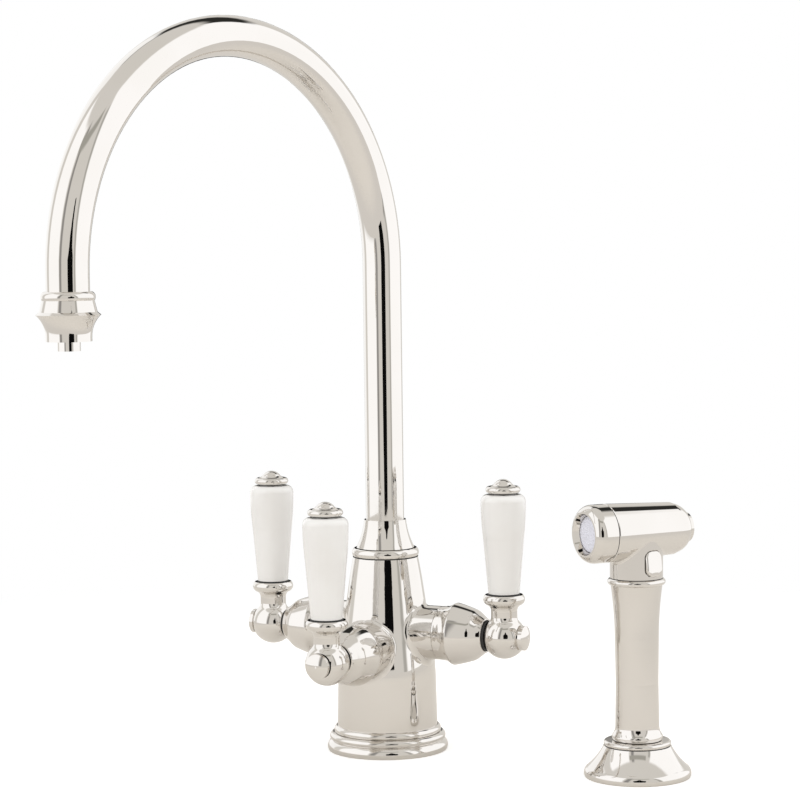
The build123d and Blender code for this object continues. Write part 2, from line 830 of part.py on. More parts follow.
with BuildPart() as fixed_discs:
    for arm in arms:
        with BuildSketch(arm.across(disc_foot)):
            Circle(disc_radius)
            with PolarLocations(disc_port_reach, 2, start_angle=90):
                Circle(disc_port_radius, mode=Mode.SUBTRACT)
        extrude(amount=disc_thickness)
fixed_discs.part.label = "fixed_discs"
export_step(fixed_discs.part, "parts/fixed_discs.step")

# ================================================================ spout
spout_out = Vector(-sin(radians(spout_turn)), -cos(radians(spout_turn)), 0)
spout_section = Plane((0, 0, 0), x_dir=spout_out, z_dir=spout_out.cross(up))
outlet_axis = Axis(spout_out * spout_reach, up)
outlet_section = Plane(spout_out * spout_reach, x_dir=spout_out, z_dir=spout_out.cross(up))

with BuildPart() as spout_tube:
    with BuildLine(spout_section) as spout_path:
        riser = Line((0, tube_foot_z), (0, spring_line_z))
        arch = CenterArc((arch_radius, spring_line_z), arch_radius, 180, -180)
        Line(arch @ 1, (spout_reach, tube_end_z))
    with BuildSketch(Plane.XY.offset(tube_foot_z)):
        Circle(tube_radius)
        Circle(tube_radius - tube_wall, mode=Mode.SUBTRACT)
    sweep(path=spout_path.wires()[0])
spout_tube.part.label = "spout_tube"
export_step(spout_tube.part, "parts/spout_tube.step")

with BuildPart() as filter_tube:
    with BuildLine(spout_section) as filter_path:
        riser = Line((0, filter_tube_foot_z), (0, spring_line_z))
        arch = CenterArc((arch_radius, spring_line_z), arch_radius, 180, -180)
        Line(arch @ 1, (spout_reach, nozzle_socket_z))
    with BuildSketch(Plane.XY.offset(filter_tube_foot_z)):
        Circle(filter_tube_radius)
        Circle(filter_tube_radius - filter_tube_wall, mode=Mode.SUBTRACT)
    sweep(path=filter_path.wires()[0])
filter_tube.part.label = "filter_tube"
export_step(filter_tube.part, "parts/filter_tube.step")

with BuildPart() as spout_collar:
    with BuildSketch(front):
        with BuildLine():
            foot = Line(
                (spigot_flange_radius + slip, collar_foot_z), (collar_flare_radius, collar_foot_z)
            )
            flare = ThreePointArc(
                foot @ 1,
                (collar_waist_radius, collar_foot_z + collar_flare_height * collar_waist_share),
                (collar_flare_top_radius, collar_top_z),
            )
            Polyline(
                flare @ 1, (tube_radius + slip, collar_top_z), (tube_radius + slip, tube_foot_z),
                (spigot_flange_radius + slip, tube_foot_z), foot @ 0,
            )
        make_face()
    revolve(axis=Axis.Z)
spout_collar.part.label = "spout_collar"
export_step(spout_collar.part, "parts/spout_collar.step")

with BuildPart() as spout_spigot:
    with BuildSketch(front):
        with BuildLine():
            Polyline(
                (spigot_bore_radius, spigot_foot_z), (spigot_radius, spigot_foot_z),
                (spigot_radius, collar_foot_z), (spigot_flange_radius, collar_foot_z),
                (spigot_flange_radius, tube_foot_z),
                (tube_radius - tube_wall - slip, tube_foot_z),
                (tube_radius - tube_wall - slip, collar_top_z),
                (spigot_bore_radius, collar_top_z), (spigot_bore_radius, spigot_foot_z),
            )
        make_face()
        for groove_z in (lower_seal_z, upper_seal_z):
            with Locations((spigot_radius, groove_z)):
                Rectangle(
                    4 * (seal_wire_radius + running), 2 * (seal_wire_radius + slip),
                    mode=Mode.SUBTRACT,
                )
        with Locations((spigot_radius, keeper_z)):
            Rectangle(2 * keeper_depth, keeper_width, mode=Mode.SUBTRACT)
    revolve(axis=Axis.Z)
spout_spigot.part.label = "spout_spigot"
export_step(spout_spigot.part, "parts/spout_spigot.step")

with BuildPart() as spout_seals:
    with BuildSketch(front):
        for seal_z in (lower_seal_z, upper_seal_z):
            with Locations((spigot_radius - seal_wire_radius, seal_z)):
                Circle(seal_wire_radius)
    revolve(axis=Axis.Z)
spout_seals.part.label = "spout_seals"
export_step(spout_seals.part, "parts/spout_seals.step")

# ================================================================ outlet
with BuildPart() as outlet_ferrule:
    bore = tube_radius + slip
    with BuildSketch(outlet_section):
        with BuildLine():
            foot = Line((bore, ferrule_foot_z), (outlet_top_radius, ferrule_foot_z))
            bead = ThreePointArc(
                foot @ 1, (ferrule_radius, ferrule_foot_z + ferrule_height * ferrule_crest),
                (outlet_top_radius - ferrule_edge, ferrule_top_z),
            )
            Polyline(bead @ 1, (bore, ferrule_top_z), foot @ 0)
        make_face()
    revolve(axis=outlet_axis)
outlet_ferrule.part.label = "outlet_ferrule"
export_step(outlet_ferrule.part, "parts/outlet_ferrule.step")

with BuildPart() as outlet_body:
    bore = tube_radius + slip
    with BuildSketch(outlet_section):
        with BuildLine():
            band = Polyline(
                (bore, tube_end_z), (bore, ferrule_foot_z), (outlet_top_radius, ferrule_foot_z),
                (outlet_band_radius, ridge_top_z), (outlet_ridge_radius, ridge_z),
            )
            lip = Line(
                (outlet_mouth_radius, outlet_mouth_z),
                (outlet_mouth_radius, outlet_mouth_z + outlet_lip_height),
            )
            TangentArc(lip @ 1, band @ 1, tangent=lip % 1)
            Polyline(
                lip @ 0, (outlet_bore_radius, outlet_mouth_z),
                (outlet_bore_radius, tube_end_z), band @ 0,
            )
        make_face()
    revolve(axis=outlet_axis)
outlet_body.part.label = "outlet_body"
export_step(outlet_body.part, "parts/outlet_body.step")

with BuildPart() as flow_straightener:
    with BuildSketch(Plane((0, 0, straightener_foot_z)) * Location(spout_out * spout_reach)):
        Circle(outlet_bore_radius - slip)
        Circle(nozzle_shank_radius + slip, mode=Mode.SUBTRACT)
        with PolarLocations(straightener_hole_reach, straightener_holes):
            Circle(straightener_hole_radius, mode=Mode.SUBTRACT)
    extrude(amount=straightener_height)
flow_straightener.part.label = "flow_straightener"
export_step(flow_straightener.part, "parts/flow_straightener.step")

with BuildPart() as filter_nozzle:
    with BuildSketch(outlet_section):
        Polygon(
            (nozzle_bore_radius, nozzle_foot_z), (nozzle_radius, nozzle_foot_z),
            (nozzle_radius, straightener_foot_z), (nozzle_shank_radius, straightener_foot_z),
            (nozzle_shank_radius, nozzle_top_z), (filter_tube_radius + slip, nozzle_top_z),
            (filter_tube_radius + slip, nozzle_socket_z), (nozzle_bore_radius, nozzle_socket_z),
            align=None,
        )
    revolve(axis=outlet_axis)
filter_nozzle.part.label = "filter_nozzle"
export_step(filter_nozzle.part, "parts/filter_nozzle.step")

# ================================================================ spray holder
spray_foot = Vector(spray_x, spray_y, 0)
spray_axis = Axis(spray_foot, up)
spray_section = Plane(spray_foot, x_dir=(1, 0, 0), z_dir=(0, -1, 0))

with BuildPart() as spray_holder:
    with BuildSketch(spray_section):
        with BuildLine():
            sole = Line((holder_thread_radius, 0), (holder_rim_radius - sole_edge, 0))
            rim = ThreePointArc(
                sole @ 1, (holder_rim_radius, holder_rim_height * flange_crest),
                (holder_rim_radius - holder_rim_edge, holder_rim_height),
            )
            bell = ThreePointArc(
                rim @ 1, (bell_waist_radius, bell_waist_z), (bell_top_radius, bell_top_z)
            )
            groove = Line(bell @ 1, (holder_bead_radius - holder_bead_step, bell_top_z))
            bead = ThreePointArc(
                groove @ 1, (holder_bead_radius, (bell_top_z + holder_top_z) / 2),
                (bell_top_radius - holder_top_inset, holder_top_z),
            )
            Polyline(
                bead @ 1, (bush_radius + slip, holder_top_z),
                (bush_radius + slip, holder_thread_depth),
                (holder_thread_radius, holder_thread_depth), sole @ 0,
            )
        make_face()
    revolve(axis=spray_axis)
    with BuildSketch(Plane(spray_foot)):
        Circle(holder_seal_radius + deck_seal_width / 2)
        Circle(holder_seal_radius - deck_seal_width / 2, mode=Mode.SUBTRACT)
    extrude(amount=deck_seal_thickness, mode=Mode.SUBTRACT)
spray_holder.part.label = "spray_holder"
export_step(spray_holder.part, "parts/spray_holder.step")

with BuildPart() as holder_seal:
    with BuildSketch(Plane(spray_foot)):
        Circle(holder_seal_radius + deck_seal_width / 2 - slip)
        Circle(holder_seal_radius - deck_seal_width / 2 + slip, mode=Mode.SUBTRACT)
    extrude(amount=deck_seal_thickness)
holder_seal.part.label = "holder_seal"
export_step(holder_seal.part, "parts/holder_seal.step")

with BuildPart() as holder_bush:
    with BuildSketch(Plane(spray_foot + up * bush_foot_z)):
        Circle(bush_radius)
        Circle(bush_bore_radius, mode=Mode.SUBTRACT)
    extrude(amount=holder_top_z - bush_foot_z)
holder_bush.part.label = "holder_bush"
export_step(holder_bush.part, "parts/holder_bush.step")

# ================================================================ hand spray
with BuildPart() as hose_connector:
    with BuildSketch(spray_section):
        Polygon(
            (connector_thread_radius, connector_foot_z), (connector_radius, connector_foot_z),
            (connector_radius, skirt_foot_z - apart),
            (column_bore_radius - running, skirt_foot_z - apart),
            (column_bore_radius - running, connector_top_z), (connector_bore_radius, connector_top_z),
            (connector_bore_radius, connector_foot_z + connector_thread_depth),
            (connector_thread_radius, connector_foot_z + connector_thread_depth),
            align=None,
        )
    revolve(axis=spray_axis)
hose_connector.part.label = "hose_connector"
export_step(hose_connector.part, "parts/hose_connector.step")

with BuildPart() as spray_column:
    bead_foot_z = column_top_z - column_bead_height
    skirt_top_z = skirt_foot_z + skirt_height
    with BuildSketch(spray_section):
        with BuildLine():
            foot = Line(
                (column_bore_radius, skirt_foot_z), (skirt_foot_radius - sole_edge, skirt_foot_z)
            )
            skirt = ThreePointArc(
                foot @ 1, (skirt_foot_radius, skirt_foot_z + skirt_height / 2),
                (skirt_foot_radius - skirt_edge, skirt_top_z),
            )
            cove = TangentArc((column_foot_radius, column_foot_z), skirt @ 1, tangent=(0, -1))
            shaft = Polyline(
                cove @ 0, (column_waist_radius, column_waist_z),
                (column_flare_radius, column_flare_z),
            )
            flare = TangentArc(shaft @ 1, (column_top_radius, bead_foot_z), tangent=(0, 1))
            bead = ThreePointArc(
                flare @ 1, (column_bead_radius, column_top_z - column_bead_height / 2),
                (neck_foot_radius, column_top_z),
            )
            Polyline(bead @ 1, (column_bore_radius, column_top_z), foot @ 0)
        make_face()
    revolve(axis=spray_axis)
spray_column.part.label = "spray_column"
export_step(spray_column.part, "parts/spray_column.step")

barrel_centre = spray_foot + up * barrel_z
barrel_axis = Axis(barrel_centre, barrel_out)
barrel_section = Plane(barrel_centre, x_dir=barrel_out, z_dir=barrel_out.cross(up))


def barrel_plane(distance):
    """A plane square to the barrel, with its own y upwards."""
    return Plane(
        barrel_centre + barrel_out * distance, x_dir=up.cross(barrel_out), z_dir=barrel_out
    )


def button_plane(distance):
    """A plane square to the button's travel, with its own y upwards."""
    centre = spray_foot + up * button_z + button_out * distance
    return Plane(centre, x_dir=up.cross(button_out), z_dir=button_out)


with BuildPart() as spray_head:
    with BuildSketch(spray_section):
        Polygon(
            (0, column_top_z), (neck_foot_radius, column_top_z), (neck_top_radius, barrel_z),
            (0, barrel_z), align=None,
        )
    revolve(axis=spray_axis)
    neck_edges = spray_head.edges()
    with BuildSketch(barrel_section):
        Polygon(
            (-barrel_back, 0), (-barrel_back, barrel_back_radius),
            (barrel_front - seam_edge, barrel_front_radius),
            (barrel_front, barrel_front_radius - seam_edge), (barrel_front, 0),
            align=None,
        )
    revolve(axis=barrel_axis)
    joins = spray_head.edges() - neck_edges
    joins = joins.filter_by(lambda edge: edge.geom_type not in (GeomType.CIRCLE, GeomType.LINE))
    fillet(joins, head_blend)
    with BuildSketch(Plane(spray_foot + up * column_top_z)):
        Circle(column_bore_radius - slip)
    extrude(amount=-head_spigot_length)
    with BuildSketch(Plane(spray_foot + up * (column_top_z - head_spigot_length))):
        Circle(head_duct_radius)
    extrude(amount=barrel_z - column_top_z + head_spigot_length, mode=Mode.SUBTRACT)
    with BuildSketch(barrel_plane(-barrel_back)):
        Circle(barrel_bore_radius)
    extrude(amount=barrel_back + barrel_front, mode=Mode.SUBTRACT)
    with BuildSketch(button_plane(pocket_floor)):
        RectangleRounded(
            button_width + 2 * apart, button_height + 2 * apart, button_corner + apart
        )
    extrude(amount=button_face, mode=Mode.SUBTRACT)
    with BuildSketch(button_plane(0)):
        Circle(stem_radius + running)
    extrude(amount=pocket_floor, mode=Mode.SUBTRACT)
spray_head.part.label = "spray_head"
export_step(spray_head.part, "parts/spray_head.step")

with BuildPart() as nozzle_ring:
    ring_end = barrel_front + nozzle_ring_length
    with BuildSketch(barrel_section):
        with BuildLine():
            back = Polyline(
                (barrel_front, barrel_bore_radius), (barrel_front, barrel_front_radius - seam_edge),
                (barrel_front + seam_edge, barrel_front_radius),
            )
            side = Line(back @ 1, (ring_end - nozzle_lip_length, barrel_front_radius))
            lip = TangentArc(side @ 1, (ring_end, nozzle_lip_radius), tangent=(1, 0))
            Polyline(
                lip @ 1, (ring_end, face_radius + slip + face_chamfer),
                (face_front, face_radius + slip),
                (face_front - face_thickness, face_radius + slip),
                (face_front - face_thickness, barrel_bore_radius), back @ 0,
            )
        make_face()
    revolve(axis=barrel_axis)
nozzle_ring.part.label = "nozzle_ring"
export_step(nozzle_ring.part, "parts/nozzle_ring.step")

with BuildPart() as spray_face:
    with BuildSketch(barrel_plane(face_front)):
        Circle(face_radius)
        for ring in range(1, face_ring_count + 1):
            with PolarLocations(ring * face_ring_pitch, 6 * ring):
                Circle(face_hole_radius, mode=Mode.SUBTRACT)
    extrude(amount=-face_thickness)
spray_face.part.label = "spray_face"
export_step(spray_face.part, "parts/spray_face.step")

with BuildPart() as end_cap:
    cap_end = -(barrel_back + end_cap_length)
    with BuildSketch(barrel_section):
        with BuildLine():
            spigot = Polyline(
                (-barrel_back + end_cap_spigot, 0),
                (-barrel_back + end_cap_spigot, barrel_bore_radius - slip),
                (-barrel_back, barrel_bore_radius - slip),
                (-barrel_back, barrel_back_radius - seam_edge),
            )
            shoulder = ThreePointArc(
                spigot @ 1,
                (-barrel_back - end_cap_shoulder / 2, barrel_back_radius - end_cap_swell),
                (-barrel_back - end_cap_shoulder, end_cap_shoulder_radius),
            )
            rim = Polyline(
                shoulder @ 1, (-barrel_back - end_cap_shoulder, end_cap_radius),
                (cap_end + end_cap_dome, end_cap_radius),
            )
            dome = TangentArc((cap_end, 0), rim @ 1, tangent=(0, 1))
            Line(dome @ 0, spigot @ 0)
        make_face()
    revolve(axis=barrel_axis)
end_cap.part.label = "end_cap"
export_step(end_cap.part, "parts/end_cap.step")

# ================================================================ spray button
with BuildPart() as spray_button:
    with BuildSketch(button_plane(button_back)):
        RectangleRounded(button_width, button_height, button_corner)
    extrude(amount=button_depth)
    rim = spray_button.faces().sort_by(Axis(spray_foot, button_out))[-1].edges()
    fillet(rim, button_crown)
    with BuildSketch(button_plane(button_back)):
        Circle(spring_pocket_radius)
    extrude(amount=spring_pocket_depth, mode=Mode.SUBTRACT)
    with BuildSketch(button_plane(poppet_reach)):
        Circle(stem_radius)
    extrude(amount=button_back + spring_pocket_depth - poppet_reach)
    with BuildSketch(button_plane(poppet_reach)):
        Circle(poppet_radius)
    extrude(amount=poppet_thickness)
spray_button.part.label = "spray_button"
export_step(spray_button.part, "parts/spray_button.step")

with BuildPart() as button_spring:
    coil_start = pocket_floor + button_wire_radius
    coil_length = button_back + spring_pocket_depth - coil_start - button_wire_radius
    with BuildLine():
        coil = Helix(
            pitch=coil_length / button_coil_turns, height=coil_length,
            radius=button_coil_radius, center=button_plane(coil_start).origin,
            direction=button_out,
        )
    with BuildSketch(Plane(coil @ 0, z_dir=coil % 0)):
        Circle(button_wire_radius)
    sweep(path=coil, is_frenet=True)
button_spring.part.label = "button_spring"
export_step(button_spring.part, "parts/button_spring.step")
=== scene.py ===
import json
from math import cos, pi, radians, sin

import bmesh
import bpy
from mathutils import Matrix, Vector


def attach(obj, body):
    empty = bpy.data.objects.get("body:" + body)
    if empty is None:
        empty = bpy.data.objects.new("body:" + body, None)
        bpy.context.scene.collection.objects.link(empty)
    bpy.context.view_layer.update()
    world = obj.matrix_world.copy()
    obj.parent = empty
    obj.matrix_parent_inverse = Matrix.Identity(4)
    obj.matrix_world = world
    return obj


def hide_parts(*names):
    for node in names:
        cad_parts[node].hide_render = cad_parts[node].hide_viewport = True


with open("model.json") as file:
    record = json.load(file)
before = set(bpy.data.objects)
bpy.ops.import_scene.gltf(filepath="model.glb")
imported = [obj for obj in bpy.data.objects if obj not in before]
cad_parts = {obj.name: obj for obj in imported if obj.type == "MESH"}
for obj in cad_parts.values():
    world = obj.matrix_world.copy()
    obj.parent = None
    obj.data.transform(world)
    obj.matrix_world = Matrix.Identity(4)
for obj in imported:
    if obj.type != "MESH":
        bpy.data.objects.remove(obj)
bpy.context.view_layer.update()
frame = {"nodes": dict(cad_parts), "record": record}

# The looks of the side spray kitchen faucet: polished nickel, glazed handles, a pale
# studio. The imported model's frame is in metres. The fitted pieces are drawn in
# millimetres, and fitted() turns them into metres.
MM = 0.001


def linked(name, data):
    """A new object of the scene with this data."""
    made = bpy.data.objects.new(name, data)
    bpy.context.scene.collection.objects.link(made)
    return made


def meshed(name, shape):
    """A new object of the scene with this bmesh, which is freed."""
    mesh = bpy.data.meshes.new(name)
    shape.to_mesh(mesh)
    shape.free()
    return linked(name, mesh)


# ---------------------------------------------------------------- camera
# The photograph's camera: azimuth from -Y towards +X, looking down, slightly rolled.
CAMERA_AZIMUTH = radians(25.88)
CAMERA_DOWN = radians(3.96)
CAMERA_ROLL = radians(-0.7)
CAMERA_PLACE = Vector((0.638, -1.2933, 0.3032))
CAMERA_LENS = 112.5
SENSOR_WIDTH = 36.0

level_right = Vector((cos(CAMERA_AZIMUTH), sin(CAMERA_AZIMUTH), 0))
level_forward = Vector((-sin(CAMERA_AZIMUTH), cos(CAMERA_AZIMUTH), 0))
sky = Vector((0, 0, 1))
forward = cos(CAMERA_DOWN) * level_forward - sin(CAMERA_DOWN) * sky
level_up = sin(CAMERA_DOWN) * level_forward + cos(CAMERA_DOWN) * sky
right = cos(CAMERA_ROLL) * level_right + sin(CAMERA_ROLL) * level_up
up = cos(CAMERA_ROLL) * level_up - sin(CAMERA_ROLL) * level_right

camera_data = bpy.data.cameras.new("photo_camera")
camera_data.lens = CAMERA_LENS
camera_data.sensor_width = SENSOR_WIDTH
camera_data.clip_start = 0.05
camera_data.clip_end = 100
camera = linked("photo_camera", camera_data)
turned = Matrix((right, up, -forward)).transposed().to_4x4()
turned.translation = CAMERA_PLACE
camera.matrix_world = turned
bpy.context.scene.camera = camera


# ---------------------------------------------------------------- node helpers
class Graph:
    """Short names for building a node tree."""

    def __init__(self, tree):
        self.tree = tree
        tree.nodes.clear()

    def node(self, kind, inputs=None, **settings):
        made = self.tree.nodes.new(kind)
        for name, value in settings.items():
            setattr(made, name, value)
        for name, value in (inputs or {}).items():
            socket = made.inputs[name]
            if isinstance(value, bpy.types.NodeSocket):
                self.tree.links.new(value, socket)
            else:
                socket.default_value = value
        return made

    def output(self, shader, kind="ShaderNodeOutputMaterial"):
        self.node(kind, {"Surface": shader.outputs[0]})

    def math(self, operation, a, b=0.0, c=0.0):
        return self.node("ShaderNodeMath", {0: a, 1: b, 2: c}, operation=operation).outputs[0]

    def ramp(self, value, low, high, at_low=0.0, at_high=1.0):
        """value from low..high to at_low..at_high, smoothly and held at the ends."""
        limits = {"From Min": low, "From Max": high, "To Min": at_low, "To Max": at_high}
        made = self.node(
            "ShaderNodeMapRange", {"Value": value, **limits}, interpolation_type="SMOOTHSTEP"
        )
        return made.outputs["Result"]

    def within(self, value, half, edge):
        """1 up to half, 0 beyond it, with a soft edge of this width."""
        return self.ramp(value, half - edge / 2, half + edge / 2, at_low=1.0, at_high=0.0)

    def mix(self, share, a, b):
        # a mix node has inputs of every data type: 6 and 7 are its two colours
        return self.node("ShaderNodeMix", {0: share, 6: a, 7: b}, data_type="RGBA").outputs[2]

    def noise(self, place, scale, detail=2.0):
        inputs = {"Vector": place, "Scale": scale, "Detail": detail}
        return self.node("ShaderNodeTexNoise", inputs).outputs["Fac"]

    def bump(self, height, strength, distance, normal=None):
        inputs = {"Height": height, "Strength": strength, "Distance": distance}
        if normal is not None:
            inputs["Normal"] = normal
        return self.node("ShaderNodeBump", inputs).outputs["Normal"]


def grey(value):
    return (value, value, value, 1)


def material(name):
    """A new material, its node tree and the object's own coordinates in it."""
    made = bpy.data.materials.new(name)
    made.use_nodes = True
    g = Graph(made.node_tree)
    return made, g, g.node("ShaderNodeTexCoord").outputs["Object"]


# ---------------------------------------------------------------- studio
# A beige room with a white soft box on each side, as the metal sees it. Angles are in
# degrees: azimuth from the camera's side towards its right, and height above the horizon.
# A panel with a lean moves sideways as it rises. Later panels cover earlier ones.
ROOM = (0.78, 0.758, 0.72, 1)
PANELS = (
    # azimuth, half width, height, half height, lean, soft edge, colour
    (-72, 34, 22, 35, 0.0, 6, (1.25, 1.25, 1.26, 1)),  # left box
    (94, 46.5, 18, 37, -0.15, 6, (1.25, 1.25, 1.26, 1)),  # right box
    (-28, 5.5, 22, 36, 0.12, 6, (0.33, 0.32, 0.31, 1)),  # dark strip beside the left box
    (-5, 32, 50, 4, 0.0, 4, (0.44, 0.43, 0.39, 1)),  # top of the wall behind the camera
    (43, 3.5, 15, 32, -0.12, 4, (0.50, 0.49, 0.46, 1)),  # right side of that wall
    (47, 8, -16, 3, 0.0, 4, (0.30, 0.29, 0.28, 1)),  # foot of a stand
    (176, 46, 48, 8, 0.0, 6, (0.03, 0.03, 0.028, 1)),  # beam behind the faucet
    (180, 6, 0, 12, 0.0, 3, (0.004, 0.004, 0.004, 1)),  # gap below that beam
    (-145, 20, 22, 32, 0.0, 7, (1.15, 1.15, 1.15, 1)),  # box behind the faucet, on its left
)

world = bpy.data.worlds.new("studio")
bpy.context.scene.world = world
world.use_nodes = True
g = Graph(world.node_tree)
direction = g.node("ShaderNodeTexCoord").outputs["Generated"]
turned_direction = g.node(
    "ShaderNodeVectorRotate", {"Vector": direction, "Angle": -CAMERA_AZIMUTH},
    rotation_type="Z_AXIS",
).outputs["Vector"]
xyz = g.node("ShaderNodeSeparateXYZ", {"Vector": turned_direction}).outputs
height = g.math("DEGREES", g.math("ARCSINE", xyz["Z"]))
toward_camera = g.math("MULTIPLY", xyz["Y"], -1.0)
azimuth = g.math("DEGREES", g.math("ARCTAN2", xyz["X"], toward_camera))
colour = ROOM
for middle, half_width, middle_height, half_height, lean, edge, panel in PANELS:
    rise = g.math("SUBTRACT", height, middle_height)
    shifted = g.math("MULTIPLY_ADD", rise, -lean, g.math("SUBTRACT", azimuth, middle))
    off = g.math("ABSOLUTE", g.math("WRAP", shifted, 180, -180))
    across = g.within(off, half_width, edge)
    along = g.within(g.math("ABSOLUTE", rise), half_height, edge)
    colour = g.mix(g.math("MULTIPLY", across, along), colour, panel)
seen = g.node("ShaderNodeLightPath").outputs["Is Camera Ray"]
colour = g.mix(seen, colour, grey(1.0))
g.output(
    g.node("ShaderNodeBackground", {"Color": colour, "Strength": 1.0}), "ShaderNodeOutputWorld"
)

bpy.context.scene.view_settings.view_transform = "Standard"

# A wide cloth above and in front lifts the white handles and the floor. It isn't seen
# in the metal.
CLOTH_SIZE = 2.4
CLOTH_POWER = 11.5
CLOTH_PLACE = Vector((0.35, -1.1, 1.9))
CLOTH_AIM = Vector((0.03, -0.08, 0.1))

lamp_data = bpy.data.lights.new("overhead", "AREA")
lamp_data.shape = "DISK"
lamp_data.size = CLOTH_SIZE
lamp_data.energy = CLOTH_POWER
lamp = linked("overhead", lamp_data)
lamp.location = CLOTH_PLACE
lamp.rotation_mode = "QUATERNION"
lamp.rotation_quaternion = (CLOTH_AIM - CLOTH_PLACE).to_track_quat("-Z", "Y")
lamp.visible_glossy = False
lamp.visible_camera = False

# The dark figure at the camera, seen only in the metal: a card that narrows upwards. It
# stands between the faucet and the camera, which doesn't see it.
CARD_AHEAD = 0.87  # from the mixer towards the camera
CARD_ASIDE = 0.122  # towards the camera's right
CARD = (
    # height, half width
    (0.04, 0.15), (0.12, 0.18), (0.33, 0.19), (0.38, 0.11), (0.47, 0.06), (0.60, 0.03),
)

shape = bmesh.new()
card_foot = level_right * CARD_ASIDE - level_forward * CARD_AHEAD
corners = list(CARD) + [(rise, -half) for rise, half in reversed(CARD)]
shape.faces.new([
    shape.verts.new(card_foot + sky * rise + level_right * half) for rise, half in corners
])
card = meshed("dark_card", shape)
card.visible_camera = False
card.visible_diffuse = False
card.visible_shadow = False
dark, g, place = material("dark_card")
cloth = g.noise(place, scale=12.0)
g.output(g.node("ShaderNodeEmission", {"Color": g.mix(cloth, grey(0.003), grey(0.006))}))
card.data.materials.append(dark)


# ---------------------------------------------------------------- materials
def polished(name, base, worn, roughness, rough_spread, wave):
    """Buffed metal: faint tone drift, buffing lines in the gloss and a slight waviness."""
    made, g, place = material(name)
    drift = g.noise(place, scale=24.0, detail=3.0)
    tone = g.mix(g.ramp(drift, low=0.35, high=0.65), base, worn)
    stretched = g.node(
        "ShaderNodeMapping", {"Vector": place, "Scale": (1.0, 1.0, 0.12)}
    ).outputs["Vector"]
    lines = g.noise(stretched, scale=2600.0)
    smears = g.noise(place, scale=60.0, detail=4.0)
    gloss = g.math("MULTIPLY_ADD", g.math("MULTIPLY", lines, smears), rough_spread, roughness)
    swell = g.noise(place, scale=70.0, detail=1.0)
    surface = g.bump(swell, strength=1.0, distance=wave)
    surface = g.bump(lines, strength=0.02, distance=0.00002, normal=surface)
    g.output(g.node(
        "ShaderNodeBsdfPrincipled",
        {"Base Color": tone, "Metallic": 1.0, "Roughness": gloss, "Normal": surface},
    ))
    return made


def glazed(name, body, cream):
    """Slip cast porcelain under a clear glaze that has pooled a little unevenly."""
    made, g, place = material(name)
    cloud = g.noise(place, scale=45.0, detail=3.0)
    tone = g.mix(g.ramp(cloud, low=0.3, high=0.7), body, cream)
    specks = g.ramp(g.noise(place, scale=1500.0, detail=1.0), low=0.76, high=0.82)
    tone = g.mix(g.math("MULTIPLY", specks, 0.12), tone, (0.55, 0.52, 0.48, 1))
    pooled = g.noise(place, scale=130.0)
    g.output(g.node(
        "ShaderNodeBsdfPrincipled",
        {
            "Base Color": tone, "Roughness": g.math("MULTIPLY_ADD", pooled, 0.10, 0.10),
            "IOR": 1.52, "Coat Weight": 0.7, "Coat Roughness": 0.04,
            "Normal": g.bump(pooled, strength=0.5, distance=0.00012),
        },
    ))
    return made


def moulded(name, base, other, roughness, grain, scale):
    """Moulded plastic or rubber: a fine grain and a faint drift of tone."""
    made, g, place = material(name)
    tone = g.mix(g.noise(place, scale=90.0, detail=3.0), base, other)
    skin = g.noise(place, scale=scale, detail=3.0)
    g.output(g.node(
        "ShaderNodeBsdfPrincipled",
        {
            "Base Color": tone, "Roughness": g.math("MULTIPLY_ADD", skin, 0.12, roughness),
            "Normal": g.bump(skin, strength=0.3, distance=grain),
        },
    ))
    return made


finishes = {
    "polished_nickel": polished(
        "polished_nickel", base=(0.78, 0.755, 0.725, 1), worn=(0.765, 0.74, 0.705, 1),
        roughness=0.015, rough_spread=0.05, wave=0.00004,
    ),
    "brass": polished(
        "brass", base=(0.74, 0.57, 0.30, 1), worn=(0.66, 0.49, 0.24, 1),
        roughness=0.16, rough_spread=0.3, wave=0.00004,
    ),
    "porcelain": glazed(
        "porcelain", body=(0.90, 0.895, 0.885, 1), cream=(0.87, 0.86, 0.845, 1)
    ),
    "ceramic_disc": glazed(
        "ceramic_disc", body=(0.80, 0.80, 0.78, 1), cream=(0.77, 0.77, 0.75, 1)
    ),
    "rubber": moulded(
        "rubber", base=(0.02, 0.02, 0.02, 1), other=(0.035, 0.034, 0.033, 1),
        roughness=0.55, grain=0.00003, scale=2500.0,
    ),
    "steel": polished(
        "steel", base=(0.60, 0.60, 0.61, 1), worn=(0.54, 0.54, 0.56, 1),
        roughness=0.22, rough_spread=0.25, wave=0.00003,
    ),
    "spray_face_white": moulded(
        "spray_face_white", base=(0.80, 0.81, 0.90, 1), other=(0.77, 0.78, 0.88, 1),
        roughness=0.22, grain=0.00001, scale=1800.0,
    ),
    "nylon": moulded(
        "nylon", base=(0.80, 0.79, 0.76, 1), other=(0.74, 0.73, 0.70, 1),
        roughness=0.42, grain=0.00002, scale=1600.0,
    ),
}
for part in frame["record"]["subparts"]:
    node = frame["nodes"][part["node"]]
    node.data.materials.clear()
    node.data.materials.append(finishes[part["material_slot"]])

# ---------------------------------------------------------------- fitted pieces
# Millimetres. An outline is a row of (radius, distance along the axis).
TURNED_SEGMENTS = 96
BEVEL_SEGMENTS = 2
SHARP_EDGE = radians(35)


